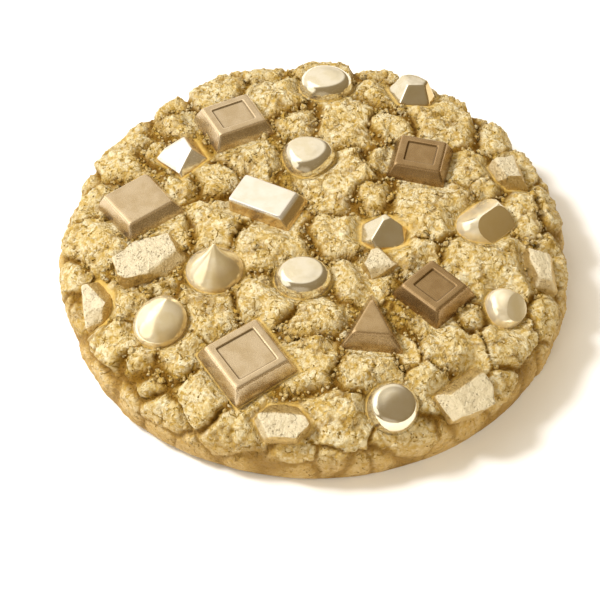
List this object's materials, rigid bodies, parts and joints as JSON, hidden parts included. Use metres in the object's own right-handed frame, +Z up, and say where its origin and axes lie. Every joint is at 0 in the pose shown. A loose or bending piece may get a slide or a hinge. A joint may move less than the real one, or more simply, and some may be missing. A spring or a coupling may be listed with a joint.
{
  "type": "chocolate chip cookie",
  "caption": "Thick round drop cookie with a crackled golden crust, holding moulded chocolate tablets, drops and gilded nut pieces half sunk in its top.",
  "frame": {"origin": "middle of the flat base, on the surface the cookie rests on", "axes": "+Z up through the crown, -Y towards the side seen from the front, +X to that view's right"},
  "size_m": [0.0914, 0.094, 0.0218],
  "materials": {
    "dough": "baked crumbly crust with a light gold lustre, matt",
    "milk_chocolate": "milk chocolate with bronze lustre, satin",
    "pale_chocolate": "white chocolate with pale gold lustre, glossy",
    "gilded_nut": "broken nut dusted with pale gold, slightly pitted"
  },
  "bodies": {
    "root": {"dough": "dough", "tile_northwest": "milk_chocolate", "tile_west": "milk_chocolate", "tile_northeast": "milk_chocolate", "tile_east": "milk_chocolate", "tile_south": "milk_chocolate", "wedge_southeast": "milk_chocolate", "slab_white": "pale_chocolate", "drop_north": "pale_chocolate", "drop_north_rim": "pale_chocolate", "drop_centre": "pale_chocolate", "drop_south": "pale_chocolate", "drop_east_small": "pale_chocolate", "drop_east": "pale_chocolate", "kiss_pointed": "pale_chocolate", "kiss_leaning": "pale_chocolate", "nugget_white": "pale_chocolate", "nugget_centre": "pale_chocolate", "nugget_north": "pale_chocolate", "nut_west": "gilded_nut", "nut_southwest": "gilded_nut", "nut_centre": "gilded_nut", "nut_south": "gilded_nut", "nut_southeast": "gilded_nut", "nut_east": "gilded_nut", "nut_northeast": "gilded_nut"}
  },
  "joints": []
}
